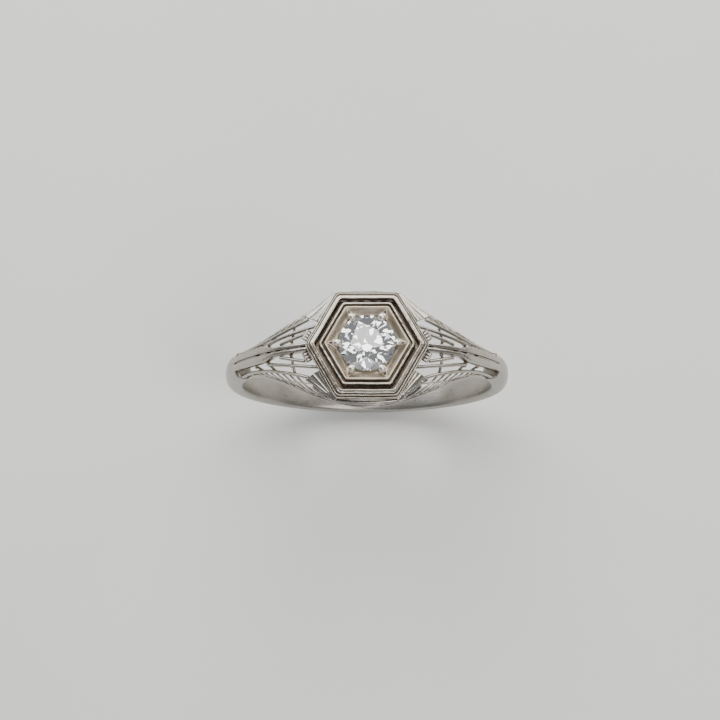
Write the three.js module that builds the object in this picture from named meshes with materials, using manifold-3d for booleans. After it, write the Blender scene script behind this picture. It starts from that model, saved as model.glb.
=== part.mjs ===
/*
 * Filigree engagement ring: a round brilliant in a six-sided stepped head, on pierced shoulders.
 * Millimetres, +Z up through the stone, Y along the finger, origin at the centre of the finger hole.
 * Angles round the ring are degrees from +Z. Heights called "radius" are distances from the Y axis.
 */
import * as THREE from 'three';
import { mergeVertices } from 'three/addons/utils/BufferGeometryUtils.js';
import { ConvexGeometry } from 'three/addons/geometries/ConvexGeometry.js';
import Module from 'manifold-3d';

const wasm = await Module();
wasm.setup();

// ---------- driving dimensions ----------
const BORE_RADIUS = 8.5;          // finger hole
const SHANK_THICKNESS = 1.25;
const SHANK_WIDTH = 1.9;
const SEAM = 0.02;                // solder seam left between two pieces that are joined
const WIRE_RADIUS = 0.11;         // lengthwise shoulder wires
const BAR_RADIUS = 0.085;         // cross bars under the wires
const RAIL_RADIUS = 0.15;         // rails along the edge of the finger hole

const HEAD_MARGIN = 1.72;         // from the stone's girdle to the flats of the six-sided head
const WALL_SETBACK = 0.17;        // head wall behind the outer frame's edge
const WALL_THICKNESS = 0.3;
const OUTER_BAND = 0.53;          // width of the outer stepped frame
const OUTER_SLOT = 0.27;          // open slot between outer and inner frames
const INNER_BAND = 0.3;           // width of the inner frame
const FRAME_LIFT = 1.6;           // underside of the outer frame above the finger hole
const FRAME_RISE = 0.8;           // outer frame, underside to crest
const INNER_RISE = 0.12;          // inner frame's crest above the outer one's
const CUP_RISE = 0.35;            // lip of the stone cup above the outer frame's crest
const CUP_LIFT = 1.3;             // underside of the inner frame and the cup above the finger hole

const STONE_DIAMETER = 3.75;
const SEAT_DEPTH = 0.12;          // girdle below the lip of the cup
const TABLE_SHARE = 0.56;         // brilliant cut proportions, as shares of the diameter
const CROWN_SHARE = 0.15;
const GIRDLE_SHARE = 0.022;
const PAVILION_SHARE = 0.43;

const SHOULDER_END = 68;          // angle where the shoulders meet the plain shank
const SHOULDER_DROP = 0.138;      // top of the shoulders below the outer frame's underside, at the head
const EDGE_OVERHANG = 0.175;      // edge wires outside the middle of the head's slanted sides
const LEAF_START = 41;            // angle where the rib's bands swell into leaves
const BAND_EDGE = 0.31;           // outer edge of the rib's bands, and of its leaves
const LEAF_EDGE = 0.56;
const RIB_RISE = 0.12;            // rib's crest above the wires
const INNER_WIRE_Y = 0.92;
const MIDDLE_WIRE_Y = 1.5;        // middle wires from the mid plane, at the head
const SHOULDER_CROWN = 0.5;       // how far the shoulder's edges lie below its middle
const LOWER_ARC = 0.3;            // gallery arcs, as shares of the way from finger rail to frame
const UPPER_ARC = 0.68;
const STRANDS = 9;                // slanted strands in each side gallery
const STRAND_SLANT = 8.3;         // angle that a strand leans towards the head
const CROSS_BARS = [               // name, and angles of the ends by the rib and by the edge wire
  ['long_bar', 30, 30],
  ['middle_bar', 43.5, 40.5],
  ['short_bar', 52, 49],
];
const INSIDE_HEAD = 3;            // angle by which pieces are drawn into the head before being cut there
const RAIL_OVERHANG = 0.17;       // finger rails outside the head's flats, under the head

// ---------- helpers ----------
const WHITE_GOLD = new THREE.Color(0.83, 0.8, 0.74);
const DIAMOND = new THREE.Color(0.93, 0.96, 0.98);
const HEX_SIDES = 6;
const rad = THREE.MathUtils.degToRad;
const lerp = THREE.MathUtils.lerp;
const circumscribed = (apothem) => apothem / Math.cos(Math.PI / HEX_SIDES);

// ---------- sizes that follow ----------
const stoneRadius = STONE_DIAMETER / 2;
const shankRadius = BORE_RADIUS + SHANK_THICKNESS;
const headApothem = stoneRadius + HEAD_MARGIN;
const wallApothem = headApothem - WALL_SETBACK;
const slotOuter = headApothem - OUTER_BAND;
const innerOuter = slotOuter - OUTER_SLOT;
const cupOuter = innerOuter - INNER_BAND - SEAM;
const frameBaseZ = BORE_RADIUS + FRAME_LIFT;
const cupBaseZ = BORE_RADIUS + CUP_LIFT;
const crestZ = frameBaseZ + FRAME_RISE;
const lipZ = crestZ + CUP_RISE;
const girdleZ = lipZ - SEAT_DEPTH;
const shoulderSpread = headApothem / 2 + EDGE_OVERHANG;
const railSpread = headApothem + RAIL_OVERHANG;
const ribHeight = RIB_RISE + 2 * (WIRE_RADIUS + SEAM) + 2 * BAR_RADIUS;
const railRadius = BORE_RADIUS + RAIL_RADIUS;
const overRail = railRadius + RAIL_RADIUS + SEAM;
const headRadius = Math.hypot(circumscribed(headApothem) + SEAM, frameBaseZ - SHOULDER_DROP);
const cornerAngle = headAngle(0);
const crownAngle = cornerAngle - 4.3;     // where the shoulders reach their full height
const edgeStart = cornerAngle + 0.1;      // where the edge wires start, beside the head
const lowerArcEnd = cornerAngle - 2.3;
const upperArcEnd = cornerAngle - 0.8;
const shankEdge = SHANK_WIDTH / 2 - WIRE_RADIUS - 0.05;     // edge wires end just inside the shank's edges
const shoulderStop = SHOULDER_END - THREE.MathUtils.radToDeg(SEAM / BORE_RADIUS);

/** Angle at which a line on the shoulder's top, at a distance from the mid plane, meets the head. */
function headAngle(y) {
  const x = circumscribed(headApothem) + SEAM - y * Math.tan(Math.PI / HEX_SIDES);
  return THREE.MathUtils.radToDeg(Math.asin(x / headRadius));
}

/** Point at an angle and radius round the finger, at a place along it. */
function onRing(angle, radius, y) {
  return new THREE.Vector3(radius * Math.sin(rad(angle)), y, radius * Math.cos(rad(angle)));
}

/** Merges shared vertices and turns the faces outward. */
function closed(geometry) {
  geometry.deleteAttribute('normal');
  geometry.deleteAttribute('uv');
  const merged = mergeVertices(geometry, 1e-5);
  const position = merged.getAttribute('position');
  const index = merged.getIndex();
  const [a, b, c] = [new THREE.Vector3(), new THREE.Vector3(), new THREE.Vector3()];
  let volume = 0;
  for (let i = 0; i < index.count; i += 3) {
    a.fromBufferAttribute(position, index.getX(i));
    b.fromBufferAttribute(position, index.getX(i + 1));
    c.fromBufferAttribute(position, index.getX(i + 2));
    volume += a.dot(b.cross(c));
  }
  if (volume < 0) {
    for (let i = 0; i < index.count; i += 3) {
      const first = index.getX(i);
      index.setX(i, index.getX(i + 1));
      index.setX(i + 1, first);
    }
  }
  return merged;
}

const toSolid = (geometry) => {
  const whole = closed(geometry);
  return new wasm.Manifold(new wasm.Mesh({
    numProp: 3,
    vertProperties: Float32Array.from(whole.getAttribute('position').array),
    triVerts: Uint32Array.from(whole.getIndex().array),
  }));
};

/** The mesh of a cut or joined solid, without edges shorter than a thousandth of a millimetre. */
function fromSolid(solid) {
  const mesh = solid.simplify(1e-3).getMesh();
  const geometry = new THREE.BufferGeometry();
  geometry.setAttribute('position', new THREE.BufferAttribute(mesh.vertProperties, 3));
  geometry.setIndex(new THREE.BufferAttribute(mesh.triVerts, 1));
  return geometry;
}

/** A closed bar through a row of sections, each a loop of the same number of points. */
function loft(sections) {
  const steps = sections.length - 1;
  const sides = sections[0].length;
  const geometry = new THREE.CylinderGeometry(1, 1, 1, sides, steps);
  const position = geometry.getAttribute('position');
  for (let i = 0; i < position.count; i++) {
    const [x, y, z] = [position.getX(i), position.getY(i), position.getZ(i)];
    const section = sections[Math.round((0.5 - y) * steps)];
    const turn = Math.atan2(x, z) / (2 * Math.PI);
    const corner = section[Math.round((turn + 1) * sides) % sides];
    const middle = new THREE.Vector3();
    section.forEach((point) => middle.addScaledVector(point, 1 / sides));
    const place = Math.hypot(x, z) < 0.5 ? middle : corner;
    position.setXYZ(i, place.x, place.y, place.z);
  }
  return closed(geometry);
}

/** A bar along a path; outline points are [across, up] shares of its half width and half height. */
function bar(steps, outline, path) {
  const at = (u) => {
    const { angle, radius, y } = path(u);
    return onRing(angle, radius, y);
  };
  const step = 1e-3;
  const sections = [];
  for (let i = 0; i <= steps; i++) {
    const u = i / steps;
    const { angle, halfWidth, halfHeight } = path(u);
    const centre = at(u);
    const along = at(u + step).sub(at(u - step)).normalize();
    const up = onRing(angle, 1, 0);
    up.addScaledVector(along, -up.dot(along)).normalize();
    const across = new THREE.Vector3().crossVectors(along, up);
    sections.push(outline.map(([a, b]) => centre.clone()
      .addScaledVector(across, a * halfWidth)
      .addScaledVector(up, b * halfHeight)));
  }
  return loft(sections);
}

/** A piece without what would stand inside the head's frame and wall. */
function clearOfHead(geometry) {
  const [frame, wall] = [headApothem + SEAM, wallApothem + SEAM];
  const underFrame = frameBaseZ - SEAM;
  const [core, above] = [wall / 4, 2 * frameBaseZ];
  const head = hexRing([
    [core, 0], [wall, 0], [wall, underFrame], [frame, underFrame], [frame, above], [core, above],
  ]);
  return fromSolid(toSolid(geometry).subtract(toSolid(head)));
}

/** Outline of a round bar. */
function roundOutline(sides) {
  return Array.from({ length: sides }, (_, i) => {
    const turn = (2 * Math.PI * (i + 0.5)) / sides;
    return [Math.cos(turn), Math.sin(turn)];
  });
}

const ROUND = roundOutline(8);
const WIRE_OUTLINE = roundOutline(6);
const STRAND_OUTLINE = roundOutline(5);
const LEAF_OUTLINE = [
  [-1, -1], [1, -1], [1, 0.3], [0.7, 1],
  [-0.65, 1], [-0.84, 0.8], [-0.84, 0.25], [-1, 0.25],
];
const SHANK_OUTLINE = [
  [-0.85, -1], [0.85, -1], [1, -0.8], [1, 0.1], [0.85, 0.6], [0.5, 0.92],
  [0, 1], [-0.5, 0.92], [-0.85, 0.6], [-1, 0.1], [-1, -0.8],
];

/** A six-sided ring from a closed profile of [apothem, z] points, corners towards X. */
function hexRing(profile) {
  const points = profile.map(([apothem, z]) => new THREE.Vector2(circumscribed(apothem), z));
  points.push(points[0].clone());
  const geometry = new THREE.LatheGeometry(points, HEX_SIDES, Math.PI / HEX_SIDES);
  geometry.rotateX(Math.PI / 2);
  return closed(geometry);
}

/** The round of a given radius that the finger hole, or a shell round it, takes out of a piece. */
function fingerRound(radius, length) {
  return toSolid(new THREE.CylinderGeometry(radius, radius, length, 96));
}

// ---------- shoulder form ----------
/** Top of the shoulder at an angle, on the mid plane. */
function topRadius(angle) {
  const v = THREE.MathUtils.clamp((SHOULDER_END - angle) / (SHOULDER_END - crownAngle), 0, 1);
  return shankRadius + (headRadius - shankRadius) * v ** 1.7;
}

/** Half width of the shoulder's top, out to its edge wires. */
function topHalfWidth(angle) {
  const v = Math.max((SHOULDER_END - angle) / (SHOULDER_END - cornerAngle), 0);
  return lerp(shankEdge, shoulderSpread, v ** 2.3);
}

/** Distance of the finger rails from the mid plane. */
function railY(angle) {
  const spread = THREE.MathUtils.smoothstep(SHOULDER_END - Math.abs(angle), 0, SHOULDER_END);
  return lerp(SHANK_WIDTH / 2 - RAIL_RADIUS, railSpread, spread ** 1.1);
}

/** Outer edge of each half of the split rib, from the mid plane: a band that swells into a leaf. */
function ribEdge(angle) {
  const swell = THREE.MathUtils.smoothstep(angle, LEAF_START - 3, LEAF_START + 3);
  const taper = THREE.MathUtils.smoothstep(angle, LEAF_START + 8, SHOULDER_END);
  return lerp(BAND_EDGE, LEAF_EDGE, swell) * (1 - 0.15 * taper);
}

/** Radius of the domed shoulder at an angle and a distance from the mid plane. */
function crownRadius(angle, y) {
  return topRadius(angle) - SHOULDER_CROWN * (y / topHalfWidth(angle)) ** 2;
}

// ---------- head ----------
/** Outer frame: two fine ridges that step up to a broad inner band. */
function outerFrame() {
  const stepWidth = OUTER_BAND / 4;
  const stepRise = FRAME_RISE / 5;
  const sill = frameBaseZ + 2.2 * stepRise;
  const profile = [[headApothem, frameBaseZ]];
  for (let ridge = 0; ridge < 2; ridge++) {
    const outside = headApothem - ridge * stepWidth;
    const crest = sill + ridge * stepRise;
    profile.push([outside, crest]);
    profile.push([outside - 0.6 * stepWidth, crest + 0.3 * stepRise]);
    profile.push([outside - stepWidth, crest - 0.2 * stepRise]);
  }
  profile.push([headApothem - 2.15 * stepWidth, crestZ - 0.5 * stepRise]);
  profile.push([slotOuter + 0.3 * stepWidth, crestZ]);
  profile.push([slotOuter, crestZ - 0.5 * stepRise]);
  profile.push([slotOuter, frameBaseZ]);
  return hexRing(profile);
}

/** Inner frame: a bevelled rim with a groove between it and the stone cup. */
function innerFrame() {
  const [bevelWidth, bevelDrop, rimWidth, grooveDepth] = [0.07, 0.12, 0.1, 0.2];
  const rimZ = crestZ + INNER_RISE;
  const grooveZ = rimZ - grooveDepth;
  const rimInside = innerOuter - bevelWidth - rimWidth;
  const inside = innerOuter - INNER_BAND;
  return hexRing([
    [innerOuter, cupBaseZ],
    [innerOuter, rimZ - bevelDrop],
    [innerOuter - bevelWidth, rimZ],
    [rimInside, rimZ],
    [rimInside - bevelWidth, grooveZ],
    [inside, grooveZ],
    [inside, cupBaseZ],
  ]);
}

/** Stone cup: a six-sided lip that slopes in to a seat parallel to the stone's pavilion. */
function stoneCup() {
  const seatInside = 0.77 * stoneRadius;
  const seatGap = 0.08;
  const wall = stoneRadius + 0.03;
  const [bevel, lipWidth] = [0.06, 0.08];
  const lipInside = cupOuter - bevel - lipWidth;
  const pavilionSlope = 2 * PAVILION_SHARE;
  return hexRing([
    [cupOuter, cupBaseZ],
    [cupOuter, lipZ - bevel],
    [cupOuter - bevel, lipZ],
    [lipInside, lipZ],
    [(cupOuter + wall) / 2, lipZ - 2 * bevel],
    [wall, girdleZ - seatGap],
    [seatInside, girdleZ - seatGap - (stoneRadius - seatInside) * pavilionSlope],
    [seatInside, cupBaseZ],
  ]);
}

/** Round brilliant: table, stars, bezels, girdle, pavilion mains and lower halves as a convex body. */
function diamond() {
  const tableRadius = TABLE_SHARE * stoneRadius;
  const crown = CROWN_SHARE * STONE_DIAMETER;
  const girdle = GIRDLE_SHARE * STONE_DIAMETER;
  const pavilion = PAVILION_SHARE * STONE_DIAMETER;
  const starRadius = 0.8 * stoneRadius;
  const lowerRadius = 0.27 * stoneRadius;
  const half = Math.PI / 8;
  const starZ = girdle + crown * (stoneRadius - starRadius * Math.cos(half)) / (stoneRadius - tableRadius);
  const lowerZ = -pavilion * (1 - lowerRadius * Math.cos(half) / stoneRadius);
  const points = [new THREE.Vector3(0, 0, -pavilion)];
  const ring = (radius, turn, z) => {
    points.push(new THREE.Vector3(radius * Math.cos(turn), radius * Math.sin(turn), z));
  };
  for (let i = 0; i < 8; i++) {
    const turn = 2 * i * half;
    ring(tableRadius, turn, girdle + crown);
    ring(starRadius, turn + half, starZ);
    ring(lowerRadius, turn + half, lowerZ);
    for (const offset of [0, half]) {
      ring(stoneRadius, turn + offset, girdle);
      ring(stoneRadius, turn + offset, 0);
    }
  }
  const geometry = closed(new ConvexGeometry(points));
  geometry.translate(0, 0, girdleZ);
  return geometry;
}

/** A claw: a post from the cup's corner that leans in and ends in a bead over the girdle. */
function prong(turn) {
  const [beadRadius, postRadius] = [0.22, 0.15];
  const [clearance, overhang, beadLift] = [0.04, 0.16, 0.21];
  const postAt = stoneRadius + postRadius + clearance;
  const beadAt = stoneRadius + overhang;
  const baseZ = girdleZ - clearance;
  const beadZ = girdleZ + GIRDLE_SHARE * STONE_DIAMETER + beadLift;
  const sections = [];
  const ring = (reach, z, radius) => {
    sections.push(ROUND.map(([a, b]) => new THREE.Vector3(reach + a * radius, b * radius, z)));
  };
  ring(postAt, baseZ, postRadius);
  ring(postAt, beadZ - beadRadius, postRadius);
  const bands = 5;
  for (let i = 1; i <= bands; i++) {
    const lift = rad(lerp(-40, 72, i / bands));
    ring(beadAt, beadZ + beadRadius * Math.sin(lift), beadRadius * Math.cos(lift));
  }
  const geometry = loft(sections);
  geometry.rotateZ(turn);
  return geometry;
}

/** Six-sided wall under the outer frame, pierced by arches front and rear. */
function headWall() {
  const top = frameBaseZ - SEAM;
  const outside = wallApothem;
  const inside = outside - WALL_THICKNESS;
  let wall = toSolid(hexRing([[outside, 0], [outside, top], [inside, top], [inside, 0]]));
  wall = wall.subtract(fingerRound(overRail, 4 * headApothem));
  const [archWidth, mullion, aboveSpring, sillLift] = [0.62, 0.16, 0.62, 0.62];
  const springZ = top - aboveSpring;
  const sillZ = BORE_RADIUS + sillLift;
  const arch = new THREE.Shape();
  arch.moveTo(-archWidth / 2, sillZ);
  arch.lineTo(archWidth / 2, sillZ);
  arch.lineTo(archWidth / 2, springZ);
  arch.absarc(0, springZ, archWidth / 2, 0, Math.PI, false);
  for (let i = -2; i <= 2; i++) {
    const cutter = new THREE.ExtrudeGeometry(arch, {
      depth: 4 * headApothem, bevelEnabled: false, curveSegments: 8,
    });
    cutter.rotateX(Math.PI / 2);
    cutter.translate(i * (archWidth + mullion), 2 * headApothem, 0);
    wall = wall.subtract(toSolid(cutter));
  }
  return fromSolid(wall);
}

/** Ledge that closes the head under the slot and carries the cup and the inner frame on its collar. */
function underBezel() {
  const top = cupBaseZ - SEAM;
  const [ledgeThickness, collarInset, collarReach, aboveHole] = [0.3, 0.12, 0.36, 0.1];
  const ledgeOuter = wallApothem - WALL_THICKNESS - SEAM;
  const collarOuter = innerOuter - collarInset;
  const collarInner = cupOuter - collarReach;
  const bezel = toSolid(hexRing([
    [ledgeOuter, top - ledgeThickness],
    [ledgeOuter, top],
    [collarInner, top],
    [collarInner, 0],
    [collarOuter, 0],
    [collarOuter, top - ledgeThickness],
  ]));
  return fromSolid(bezel.subtract(fingerRound(BORE_RADIUS + aboveHole, 4 * headApothem)));
}

// ---------- shank and rails ----------
/** Plain band from shoulder to shoulder under the finger, rounded on its outside. */
function shank() {
  return bar(44, SHANK_OUTLINE, (u) => ({
    angle: lerp(SHOULDER_END, 360 - SHOULDER_END, u),
    radius: BORE_RADIUS + SHANK_THICKNESS / 2,
    y: 0,
    halfWidth: SHANK_WIDTH / 2,
    halfHeight: SHANK_THICKNESS / 2,
  }));
}

/** Distance of the head wall's outside from the mid plane, at a distance across from the head's axis. */
function wallY(x) {
  const slanted = (circumscribed(wallApothem) - Math.abs(x)) / Math.tan(Math.PI / HEX_SIDES);
  return Math.min(wallApothem, slanted);
}

/** The long rail along one edge of the finger hole, under the head from shank to shank. */
function fingerRail(face) {
  return bar(40, WIRE_OUTLINE, (u) => {
    const angle = lerp(-shoulderStop, shoulderStop, u);
    return {
      angle,
      radius: railRadius,
      y: face * railY(angle),
      halfWidth: RAIL_RADIUS,
      halfHeight: RAIL_RADIUS,
    };
  });
}

/** An arched moulding round the head's front or rear, a share of the way up from rail to frame. */
function galleryArc(face, share) {
  const [arcRadius, standOff, cornerSpread] = [0.09, 0.18, 0.3];
  const end = share === LOWER_ARC ? lowerArcEnd : upperArcEnd;
  return bar(20, WIRE_OUTLINE, (u) => {
    const angle = lerp(-end, end, u);
    const middleY = wallApothem + arcRadius + standOff;
    const outward = lerp(middleY, shoulderSpread + cornerSpread, (angle / upperArcEnd) ** 4);
    const radius = lerp(overRail, frameBaseZ, share);
    const clear = wallY(radius * Math.sin(rad(angle))) + arcRadius + SEAM;
    return {
      angle,
      radius,
      y: face * Math.max(lerp(railY(angle), outward, share), clear),
      halfWidth: arcRadius,
      halfHeight: arcRadius,
    };
  });
}

// ---------- shoulders ----------
/** Mirrors a piece made for the right front shoulder to one of the four places. */
function mirrored(geometry, side, face) {
  geometry.scale(side, face, 1);
  return closed(geometry);
}

/** One half of the split rib: a thin band by the head that swells into a leaf, grooved inside. */
function rib() {
  const start = headAngle(0) - INSIDE_HEAD;
  const inside = SEAM / 2;
  return bar(20, LEAF_OUTLINE, (u) => {
    const angle = lerp(start, shoulderStop, u);
    const width = ribEdge(angle) - inside;
    return {
      angle,
      radius: topRadius(angle) + RIB_RISE - ribHeight / 2,
      y: -(inside + width / 2),
      halfWidth: width / 2,
      halfHeight: ribHeight / 2,
    };
  });
}

/** A wire on the domed shoulder; route gives its distance from the mid plane. */
function shoulderWire(from, to, steps, route) {
  return bar(steps, WIRE_OUTLINE, (u) => {
    const angle = lerp(from, to, u);
    const y = route(angle, u);
    return {
      angle,
      radius: crownRadius(angle, y) - WIRE_RADIUS,
      y: -y,
      halfWidth: WIRE_RADIUS,
      halfHeight: WIRE_RADIUS,
    };
  });
}

/** A cross bar under the wires, from the rib at one angle to the edge wire at another. */
function crossBar(ribAngle, edgeAngle) {
  const sunk = 2 * (WIRE_RADIUS + SEAM) + BAR_RADIUS;
  const start = ribEdge(ribAngle) + SEAM;
  const endInset = 0.03;
  const end = topHalfWidth(edgeAngle) - endInset;
  return bar(5, WIRE_OUTLINE, (u) => {
    const angle = lerp(ribAngle, edgeAngle, u);
    const y = lerp(start, end, u);
    return {
      angle,
      radius: crownRadius(angle, y) - sunk,
      y: -y,
      halfWidth: BAR_RADIUS,
      halfHeight: BAR_RADIUS,
    };
  });
}

/** Slanted strands between the edge wire and the finger rail, on a spine above the rail. */
function sideGallery() {
  const [strandRadius, spineInset, topFlare, bowOut] = [0.085, 0.04, 0.06, 0.1];
  const [nearHead, nearShank] = [lowerArcEnd + 9, SHOULDER_END - 8];
  const spineRadius = overRail + strandRadius;
  const spineY = (angle) => railY(angle) - spineInset;
  const thickness = { halfWidth: strandRadius, halfHeight: strandRadius };
  let comb = toSolid(bar(14, STRAND_OUTLINE, (u) => {
    const angle = lerp(lowerArcEnd + 1, nearShank - STRAND_SLANT / 2, u);
    return { angle, radius: spineRadius, y: -spineY(angle), ...thickness };
  }));
  const edgeDrop = SHOULDER_CROWN + 2 * WIRE_RADIUS + SEAM + strandRadius;
  for (let i = 0; i < STRANDS; i++) {
    const topAngle = lerp(nearHead, nearShank, i / (STRANDS - 1));
    const strand = bar(4, STRAND_OUTLINE, (u) => {
      const angle = topAngle - STRAND_SLANT * u;
      const bow = bowOut * Math.sin(Math.PI * u);
      return {
        angle,
        radius: lerp(topRadius(angle) - edgeDrop, spineRadius, u) + bow,
        y: -lerp(topHalfWidth(angle) + topFlare, spineY(angle), u) - bow,
        ...thickness,
      };
    });
    comb = comb.add(toSolid(strand));
  }
  return fromSolid(comb);
}

/** Point by the head's slanted side: out from it, along it from its middle to the flat, and up. */
function besideHead(out, reach, z) {
  const turn = Math.PI / HEX_SIDES;
  const across = new THREE.Vector3(Math.cos(turn), -Math.sin(turn), 0);
  const along = new THREE.Vector3(-Math.sin(turn), -Math.cos(turn), 0);
  return across.multiplyScalar(out).addScaledVector(along, reach).setZ(z);
}

/** Three-cornered plate along half of the head's slanted side, sloping out and down from it. */
function shoulderPlate() {
  const steps = 8;
  const [wideEnd, narrowEnd] = [1.02, 0.17];
  const thickness = 0.22;
  const steepness = 0.62;
  const topZ = frameBaseZ - SEAM;
  const sections = [];
  for (let i = 0; i <= steps; i++) {
    const u = i / steps;
    const reach = lerp(-0.05, 0.5, u) * circumscribed(headApothem);
    const width = WALL_SETBACK + lerp(wideEnd, narrowEnd, u) - 0.06 * Math.sin(Math.PI * u);
    const at = (share, drop) => besideHead(
      wallApothem + SEAM + share * width,
      reach,
      topZ - drop - steepness * width * share ** 1.6,
    );
    sections.push([
      at(0, 0), at(0.5, 0), at(0.88, 0), at(1, -0.06),
      at(1, thickness), at(0.5, thickness), at(0, thickness),
    ]);
  }
  return loft(sections);
}

/** Small ladder bracket beside the head's slanted side, in the corner by the rib. */
function cornerBracket() {
  const [length, width, thickness, band, rungs] = [0.74, 0.44, 0.22, 0.09, 3];
  const tilt = rad(28);
  let ladder = toSolid(new THREE.BoxGeometry(length, width, thickness));
  const pitch = (length - band) / rungs;
  for (let i = 0; i < rungs; i++) {
    const opening = new THREE.BoxGeometry(pitch - band, width - 2 * band, 2 * thickness);
    opening.translate((i - (rungs - 1) / 2) * pitch, 0, 0);
    ladder = ladder.subtract(toSolid(opening));
  }
  const geometry = fromSolid(ladder);
  geometry.rotateX(tilt);
  geometry.rotateZ(rad(-120));
  const cornerGap = 0.33;
  const place = besideHead(
    headApothem + width / 2,
    cornerGap + length / 2 - circumscribed(headApothem) / 2,
    frameBaseZ - 0.1,
  );
  geometry.translate(place.x, place.y, place.z);
  return clearOfHead(geometry);
}

// ---------- assembly ----------
const group = new THREE.Group();

function addPiece(name, geometry, color = WHITE_GOLD, metalness = 1, roughness = 0.3) {
  const material = new THREE.MeshStandardMaterial({ color, metalness, roughness });
  const mesh = new THREE.Mesh(closed(geometry), material);
  mesh.name = name;
  group.add(mesh);
}

function addShoulder(side, face, where) {
  const add = (name, geometry) => addPiece(`${name}_${where}`, mirrored(geometry, side, face));
  add('rib', clearOfHead(rib()));
  const middleStart = headAngle(MIDDLE_WIRE_Y) - INSIDE_HEAD;
  const beside = (angle) => ribEdge(angle) + WIRE_RADIUS + SEAM;
  const [middleEnd, innerStart, innerEnd] = [LEAF_START + 2, crownAngle + 5, LEAF_START - 6];
  add('edge_wire', shoulderWire(edgeStart, shoulderStop, 16, topHalfWidth));
  add('middle_wire', clearOfHead(shoulderWire(middleStart, middleEnd, 12, (angle, u) => (
    lerp(MIDDLE_WIRE_Y, beside(middleEnd), u)))));
  add('inner_wire', shoulderWire(innerStart, innerEnd, 8, (angle, u) => (
    lerp(INNER_WIRE_Y, beside(innerEnd), u))));
  for (const [name, ribAngle, edgeAngle] of CROSS_BARS) {
    add(name, crossBar(ribAngle, edgeAngle));
  }
  add('side_gallery', sideGallery());
  add('shoulder_plate', shoulderPlate());
  add('corner_bracket', cornerBracket());
}

addPiece('diamond', diamond(), DIAMOND, 0, 0.02);
for (let i = 0; i < HEX_SIDES; i++) {
  addPiece(`prong_${i + 1}`, prong((i * 2 * Math.PI) / HEX_SIDES));
}
addPiece('stone_cup', stoneCup());
addPiece('inner_frame', innerFrame());
addPiece('outer_frame', outerFrame());
addPiece('head_wall', headWall());
addPiece('under_bezel', underBezel());
addPiece('shank', shank());
for (const [face, end] of [[-1, 'front'], [1, 'rear']]) {
  addPiece(`finger_rail_${end}`, fingerRail(face));
  addPiece(`lower_arc_${end}`, galleryArc(face, LOWER_ARC));
  addPiece(`upper_arc_${end}`, galleryArc(face, UPPER_ARC));
  for (const [side, hand] of [[-1, 'left'], [1, 'right']]) {
    addShoulder(side, -face, `${hand}_${end}`);
  }
}

export default group;
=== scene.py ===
"""Filigree engagement ring in white gold: fine shapes, finishes, studio light and camera.

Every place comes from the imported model. Shapes are worked on in millimetres, with the finger hole's
centre as origin, +Z up through the stone and Y along the finger, and are finished in metres.
"""

import logging
import math
from dataclasses import dataclass, field
from enum import Enum

import bmesh
import bpy
from mathutils import Matrix, Vector
from mathutils.bvhtree import BVHTree


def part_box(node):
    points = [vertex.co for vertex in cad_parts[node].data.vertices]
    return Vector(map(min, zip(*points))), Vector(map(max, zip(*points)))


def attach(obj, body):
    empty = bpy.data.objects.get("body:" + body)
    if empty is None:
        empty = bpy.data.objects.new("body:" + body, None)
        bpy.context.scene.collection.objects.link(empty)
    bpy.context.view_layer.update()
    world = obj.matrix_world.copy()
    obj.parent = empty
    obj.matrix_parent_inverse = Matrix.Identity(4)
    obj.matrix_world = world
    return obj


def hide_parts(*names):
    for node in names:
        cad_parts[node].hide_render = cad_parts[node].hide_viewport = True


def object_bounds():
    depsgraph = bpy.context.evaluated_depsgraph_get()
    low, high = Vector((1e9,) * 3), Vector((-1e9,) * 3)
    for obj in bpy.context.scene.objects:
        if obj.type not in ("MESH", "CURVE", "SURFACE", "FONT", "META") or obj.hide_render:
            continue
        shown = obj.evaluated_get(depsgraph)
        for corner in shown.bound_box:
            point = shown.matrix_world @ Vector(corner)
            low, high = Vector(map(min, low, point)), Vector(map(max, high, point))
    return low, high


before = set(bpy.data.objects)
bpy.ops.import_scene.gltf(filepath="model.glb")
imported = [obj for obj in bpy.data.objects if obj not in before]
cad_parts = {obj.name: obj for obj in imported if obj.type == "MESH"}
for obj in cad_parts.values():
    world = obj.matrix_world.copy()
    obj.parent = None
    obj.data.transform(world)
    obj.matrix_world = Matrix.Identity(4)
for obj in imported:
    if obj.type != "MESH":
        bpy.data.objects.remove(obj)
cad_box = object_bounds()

MM = 0.001
HEX_SIDES = 6
MAIN_FACETS = 8
CORNERS = ("left_front", "right_front", "left_rear", "right_rear")
ENDS = ("front", "rear")
WIRES = ("edge_wire", "middle_wire", "inner_wire")
BARS = ("long_bar", "middle_bar", "short_bar")
RECESS = "recess"
SWEEP_RADIUS = 1.0

log = logging.getLogger("ring")

Value = bpy.types.NodeSocket | float | int | tuple | str | bpy.types.Object | bpy.types.Material
Inputs = dict[str | int, Value]
Point = tuple[float, float, float]
Colour = tuple[float, float, float]


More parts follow.
